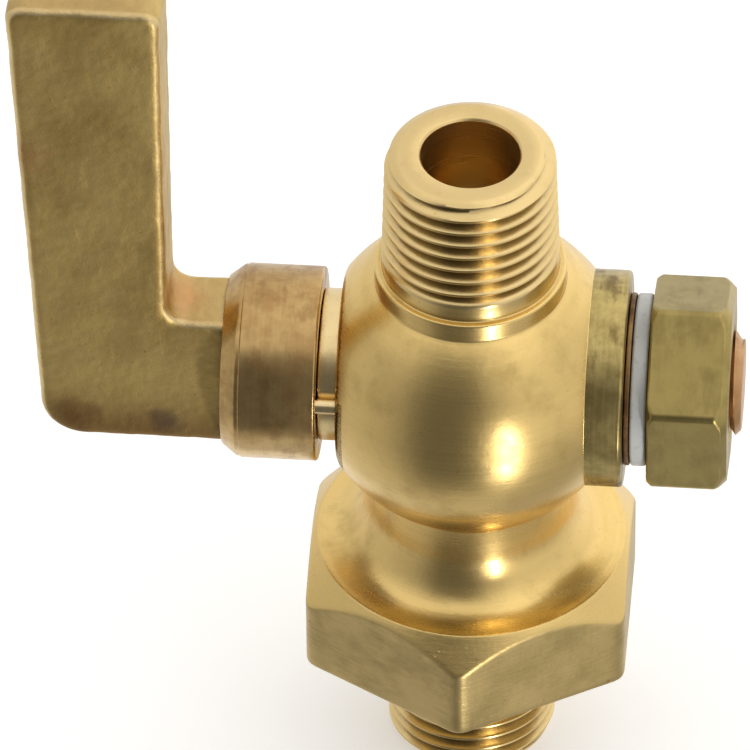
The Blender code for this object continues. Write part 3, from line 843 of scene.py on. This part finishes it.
def stained_brass(name, clean, tarnish, stain, axis, rough=0.34, oxide_most=0.8, marks=0.02,
                  top_face_shade=0.0, underside_reflection=0.0):
    """Rough-turned brass with streaks of brown oxide, painted shade on its top and a painted reflection
    underneath.
    """
    graph = Graph(name)
    ring_place = graph.around(axis)
    fine = graph.noise(ring_place, 4.0, 4, 0.6)
    streak = graph.noise(graph.vector("MULTIPLY", graph.place, (2.2, 0.6, 0.6)), 0.8, 6, 0.65)
    cloud = graph.noise(graph.place, 0.35, 5, 0.6)
    dull = graph.math("MULTIPLY_ADD", fine, 0.3, graph.noise(graph.place, 0.8, 5, 0.6))
    colour = graph.mix(graph.between(dull, 0.5, 0.85), clean, tarnish)
    oxide = graph.between(graph.math("MULTIPLY_ADD", streak, 0.6, cloud), 0.75, 0.98)
    colour = graph.mix(graph.math("MULTIPLY", oxide, oxide_most), colour, stain)
    if top_face_shade or underside_reflection:
        upward = graph.towards(Z)
        # Painted shade: upward faces darker
        colour = graph.mix(graph.between(upward, 0.6, 1.0, 0.0, top_face_shade), colour, stain)
        # Painted reflection: downward faces lighter
        colour = graph.mix(graph.between(upward, -0.5, 0.1, underside_reflection, 0.0), colour, UNDERSIDE_REFLECTION_COLOUR)
    roughness = graph.math("MULTIPLY_ADD", oxide, 0.2 * oxide_most, rough)
    graph.relief((fine, marks), (streak, marks))
    return graph.finish(colour, roughness)


def bore_brass(name):
    """The waterway's wall: clean drilled brass, which the light's many reflections in it turn brown."""
    graph = Graph(name)
    marks = graph.noise(graph.around("Z"), 3.5, 4)
    cloud = graph.noise(graph.place, 0.7, 5)
    colour = graph.mix(cloud, (0.95, 0.74, 0.38), (0.85, 0.6, 0.26))
    roughness = graph.math("MULTIPLY_ADD", marks, 0.12, 0.2)
    graph.relief((marks, 0.008))
    return graph.finish(colour, roughness, corner_dirt_and_shade=0)


def nylon(name):
    """The seal washer: pale grey plastic, matt, with fine lines round its edge and a little dirt."""
    graph = Graph(name)
    lines = graph.noise(graph.around("X"), 4.0, 3)
    cloud = graph.noise(graph.place, 0.5, 5)
    darkening_share = graph.between(graph.noise(graph.place, 1.6, 5, 0.6), 0.56, 0.75)
    colour = graph.mix(cloud, (0.58, 0.59, 0.58), (0.46, 0.47, 0.46))
    colour = graph.mix(graph.math("MULTIPLY", darkening_share, 0.5), colour, (0.25, 0.22, 0.17))
    roughness = graph.math("MULTIPLY_ADD", lines, 0.15, 0.38)
    graph.relief((lines, 0.012))
    graph.shader.inputs["Subsurface Weight"].default_value = 0.1
    graph.shader.inputs["Subsurface Radius"].default_value = (0.4 * MM, 0.4 * MM, 0.4 * MM)
    graph.shader.inputs["Subsurface Scale"].default_value = 1.0
    return graph.finish(colour, roughness, metallic=0.0, corner_dirt_and_shade=0.5)


def paint(obj, materials, choose):
    """Gives each face one of the materials: choose takes the faces' centres and normals, in millimetres."""
    for material in materials:
        obj.data.materials.append(material)
    count = len(obj.data.polygons)
    centres, normals = np.empty(count * 3), np.empty(count * 3)
    obj.data.polygons.foreach_get("center", centres)
    obj.data.polygons.foreach_get("normal", normals)
    chosen = choose(centres.reshape(-1, 3) / MM, normals.reshape(-1, 3))
    obj.data.polygons.foreach_set("material_index", chosen.astype(np.int32))


def from_x_axis(centres):
    return np.hypot(centres[:, Y], centres[:, Z] - AXIS_Z)


def body_finish(centres, normals):
    """0 turned, 1 thread, 2 milled flats, 3 boss, 4 bores."""
    from_z = np.hypot(centres[:, X], centres[:, Y])
    chosen = np.zeros(len(centres))
    threaded = (centres[:, Z] < HEX_BOTTOM_Z) | (centres[:, Z] > BAND_TOP_Z)
    chosen[threaded & (from_z < COLLAR_RADIUS)] = 1
    chosen[(centres[:, Z] < COVE_TOP_Z - COVE_RADIUS) & (from_z > COLLAR_RADIUS)] = 2
    chosen[(centres[:, X] > 7.15) & (from_x_axis(centres) < BOSS_RADIUS + 0.02)] = 3
    outward = (normals[:, X] * centres[:, X] + normals[:, Y] * centres[:, Y]) > 0
    chosen[(from_z < BORE_RADIUS + 0.02) & ~outward] = 4
    return chosen


def lever_finish(centres, normals):
    """0 cast, 1 machined hub."""
    on_hub = (from_x_axis(centres) > 4.95) & (centres[:, X] > HUB_LEFT_X - 0.02)
    end_face = centres[:, X] > HUB_RIGHT_X - 0.4
    return (on_hub | end_face).astype(float)


def single(centres, normals):
    return np.zeros(len(centres))


# --- Pieces ------------------------------------------------------------------------------------------------

def place_piece(obj, node, body, materials, choose=single):
    """Finishes a piece's surface and gives it the place of its CAD node."""
    shape = bmesh.new()
    shape.from_mesh(obj.data)
    bmesh.ops.recalc_face_normals(shape, faces=shape.faces)
    shape.to_mesh(obj.data)
    shape.free()
    obj.data.shade_smooth()
    obj.data.set_sharp_from_angle(angle=SHARP_ANGLE)
    obj.data.materials.clear()
    paint(obj, materials, choose)
    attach(obj, body)
    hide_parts(node)


def build_pieces():
    gold, olive = (0.78, 0.56, 0.215), (0.44, 0.31, 0.105)
    turned_body = machined_brass("turned brass", gold, olive, "Z")
    thread = machined_brass("thread brass", (0.73, 0.545, 0.25), (0.45, 0.315, 0.125), "Z",
                            rough=0.2, marks=0.002, tarnish_from=0.58)
    flats = milled_brass("milled brass", (0.58, 0.43, 0.18), (0.38, 0.28, 0.11), gold)
    boss_skin = stained_brass("stained brass", (0.5, 0.39, 0.15), (0.33, 0.25, 0.09), (0.14, 0.09, 0.035),
                              "X", rough=0.3, oxide_most=0.7, marks=0.005)
    bores = bore_brass("bore brass")
    place_piece(valve_body(), "valve_body", "body",
                [turned_body, thread, flats, boss_skin, bores], body_finish)

    plug_skin = machined_brass("plug brass", (0.84, 0.66, 0.34), (0.5, 0.3, 0.12), "X",
                               rough=0.2, marks=0.004)
    copper = machined_brass("stud brass", (0.6, 0.36, 0.17), (0.36, 0.18, 0.07), "X",
                            rough=0.26, marks=0.003, tarnish_from=0.4)
    place_piece(tapered_plug(), "tapered_plug", "plug", [plug_skin, copper],
                lambda centres, normals: (centres[:, X] > PLUG_SMALL_X).astype(float))

    brown, violet, rose = (0.2, 0.1, 0.035), (0.16, 0.11, 0.075), (0.55, 0.27, 0.11)
    stains = [  # centre, radius, colour, strength
        ((-23.2, -2.3, AXIS_Z - 3.0), 2.0, brown, 0.75),
        ((-18.0, -2.3, AXIS_Z - 3.2), 1.4, violet, 0.8),
        ((-19.5, -2.3, AXIS_Z - 4.2), 3.0, (0.3, 0.16, 0.05), 0.4),
        ((-26.0, -2.3, AXIS_Z + 17.5), 2.4, (0.42, 0.2, 0.07), 0.45),
        ((-17.0, 0.0, AXIS_Z + 5.0), 2.2, rose, 0.6),
    ]
    cast = cast_brass("cast brass", (0.63, 0.455, 0.165), (0.45, 0.305, 0.1), stains)
    hub = stained_brass("hub brass", (0.61, 0.42, 0.175), (0.47, 0.29, 0.115), (0.24, 0.13, 0.05), "X",
                        rough=0.24, oxide_most=0.5, marks=0.003, top_face_shade=0.3, underside_reflection=0.25)
    place_piece(lever_handle(), "lever_handle", "plug", [cast, hub], lever_finish)

    bright = machined_brass("pin brass", (0.8, 0.62, 0.34), (0.5, 0.35, 0.15), "X", rough=0.15, marks=0.002)
    place_piece(stop_pin(), "stop_pin", "plug", [bright])

    key = stained_brass("key washer brass", (0.3, 0.19, 0.085), (0.22, 0.12, 0.055), (0.12, 0.06, 0.03), "X",
                        rough=0.4)
    place_piece(washer("key_washer_fine", "key_washer", d_hole, 0.08), "key_washer", "plug",
                [key])
    place_piece(washer("seal_washer_fine", "seal_washer", round_hole, 0.2), "seal_washer", "plug",
                [nylon("nylon")])

    nut = stained_brass("nut brass", (0.42, 0.325, 0.115), (0.36, 0.275, 0.095), (0.2, 0.15, 0.05), "X",
                        rough=0.3, oxide_most=0.4, marks=0.003, top_face_shade=0.25, underside_reflection=0.27)
    place_piece(retaining_nut(), "retaining_nut", "plug", [nut])


# --- Camera, light and floor -------------------------------------------------------------------------------

CAMERA_AZIMUTH = math.radians(4.38)  # to the right of the front
CAMERA_ELEVATION = math.radians(43.43)
CAMERA_ROLL = math.radians(-0.15)
CAMERA_DISTANCE = 0.72
CAMERA_LENS = 586.4
# From the crossing of the plug's axis and the waterway to what the camera looks at
AIM_RIGHT, AIM_UP = -5.655 * MM, -0.245 * MM

STRIP_AZIMUTH, STRIP_ELEVATION, STRIP_DISTANCE = 27.5, -20, 0.3
STRIP_WIDTH, STRIP_HEIGHT = 0.026, 0.2
STRIP_RADIANCE = 16.0
CARD_DARKENING = 0.74


def direction(azimuth, elevation):
    """A unit vector: azimuth to the right of the front, elevation above the level."""
    level = math.cos(elevation)
    return Vector((math.sin(azimuth) * level, -math.cos(azimuth) * level, math.sin(elevation)))


def add_camera():
    crossing = Vector((0, 0, AXIS_Z * MM))
    back = direction(CAMERA_AZIMUTH, CAMERA_ELEVATION)
    right = Vector((math.cos(CAMERA_AZIMUTH), math.sin(CAMERA_AZIMUTH), 0))
    up = back.cross(right)
    camera = bpy.data.objects.new("camera", bpy.data.cameras.new("camera"))
    bpy.context.scene.collection.objects.link(camera)
    place = crossing + back * CAMERA_DISTANCE
    rolled_right = right * math.cos(CAMERA_ROLL) + up * math.sin(CAMERA_ROLL)
    rolled_up = up * math.cos(CAMERA_ROLL) - right * math.sin(CAMERA_ROLL)
    aim = crossing + rolled_right * AIM_RIGHT + rolled_up * AIM_UP
    look_back = (place - aim).normalized()
    look_right = rolled_up.cross(look_back).normalized()
    look_up = look_back.cross(look_right)
    turn = Matrix((look_right, look_up, look_back)).transposed().to_4x4()
    camera.matrix_world = Matrix.Translation(place) @ turn
    camera.data.lens = CAMERA_LENS
    camera.data.sensor_width = 36
    camera.data.clip_start = 0.01
    camera.data.clip_end = 20
    camera.data.dof.use_dof = False
    bpy.context.scene.camera = camera


def add_panel(name, azimuth, elevation, distance, width, height, radiance):
    """A soft rectangular light that faces the ball; radiance is what a mirror would show of it."""
    light = bpy.data.lights.new(name, "AREA")
    light.shape = "RECTANGLE"
    light.size = width
    light.size_y = height
    light.energy = radiance * math.pi * width * height
    panel = bpy.data.objects.new(name, light)
    bpy.context.scene.collection.objects.link(panel)
    away = direction(math.radians(azimuth), math.radians(elevation))
    panel.location = Vector((0, 0, AXIS_Z * MM)) + away * distance
    panel.rotation_euler = away.to_track_quat("Z", "Y").to_euler()
    panel.visible_camera = False


def add_world():
    """A plain studio: pale above and behind, greyer at the sides, and a dark card in front of the object.

    Azimuth is in degrees to the right of the front, and elevation in degrees above the level.
    """
    world = bpy.data.worlds.new("studio")
    world.use_nodes = True
    bpy.context.scene.world = world
    tree = world.node_tree
    background = tree.nodes["Background"]

    def node(kind, inputs, **settings):
        made = tree.nodes.new(kind)
        for key, value in settings.items():
            setattr(made, key, value)
        for key, value in inputs.items():
            if isinstance(value, bpy.types.NodeSocket):
                tree.links.new(value, made.inputs[key])
            else:
                made.inputs[key].default_value = value
        return made

    def calc(operation, *values):
        return node("ShaderNodeMath", dict(enumerate(values)), operation=operation).outputs[0]

    def step(value, low, high, start=0.0, end=1.0):
        inputs = {"Value": value, "From Min": low, "From Max": high, "To Min": start, "To Max": end}
        return node("ShaderNodeMapRange", inputs, interpolation_type="SMOOTHSTEP").outputs["Result"]

    place = node("ShaderNodeTexCoord", {}).outputs["Generated"]
    parts = node("ShaderNodeSeparateXYZ", {0: place}).outputs
    degrees = 180 / math.pi
    azimuth = calc("MULTIPLY", calc("ARCTAN2", parts[0], calc("MULTIPLY", parts[1], -1.0)), degrees)
    elevation = calc("MULTIPLY", calc("ARCSINE", parts[2]), degrees)
    from_front = calc("ABSOLUTE", azimuth)

    level = step(elevation, 15, 60, 0.52, 1.0)
    level = calc("ADD", level, step(elevation, -55, -30, 0.12, 0.0))
    behind = calc("MULTIPLY", step(from_front, 90, 150, 0.0, 0.4), step(elevation, 20, 60, 1.0, 0.0))
    level = calc("ADD", level, behind)
    right = calc("MULTIPLY", step(azimuth, 25, 45, 0.0, 0.34), step(elevation, -42, -5))
    level = calc("ADD", level, right)
    right_below = calc("MULTIPLY", step(azimuth, 25, 45, 0.0, 0.17), step(elevation, -47, -34, 1.0, 0.0))
    level = calc("SUBTRACT", level, right_below)
    left = calc("MULTIPLY", step(azimuth, -85, -60, 0.12, 0.0), step(azimuth, -150, -110))
    level = calc("ADD", level, left)
    card = calc("MULTIPLY", step(azimuth, -60, -22), step(azimuth, 6, 24, 1.0, 0.0))
    card_height = calc("MULTIPLY", step(elevation, -62, -44), step(elevation, 45, 62, 1.0, 0.0))
    card = calc("MULTIPLY", card, card_height)
    level = calc("MULTIPLY", level, calc("SUBTRACT", 1.0, calc("MULTIPLY", card, CARD_DARKENING)))
    seen = calc("MAXIMUM", level, node("ShaderNodeLightPath", {}).outputs["Is Camera Ray"])
    tree.links.new(seen, background.inputs["Strength"])
    background.inputs["Color"].default_value = (1.0, 0.985, 0.96, 1)


def add_floor():
    size = 1.5
    corners = np.array([(-1, -1, 0), (1, -1, 0), (1, 1, 0), (-1, 1, 0)]) * size / MM
    floor = mesh_object("floor", corners, [[0, 1, 2, 3]])
    graph = Graph("pale floor")
    mottle = graph.noise(graph.place, 0.05, 3)
    tone = graph.mix(mottle, (0.86, 0.86, 0.86), (0.88, 0.88, 0.88))
    graph.put(graph.shader.inputs["Emission Color"], (1.0, 1.0, 1.0))
    graph.shader.inputs["Emission Strength"].default_value = 0.3
    floor.data.materials.append(graph.finish(tone, 0.8, metallic=0.0, corner_dirt_and_shade=0))
    floor.visible_glossy = False
    floor.visible_shadow = False


build_pieces()
add_camera()
add_world()
add_panel("strip", STRIP_AZIMUTH, STRIP_ELEVATION, STRIP_DISTANCE, STRIP_WIDTH, STRIP_HEIGHT, STRIP_RADIANCE)
add_floor()
bpy.context.scene.view_settings.view_transform = "Standard"
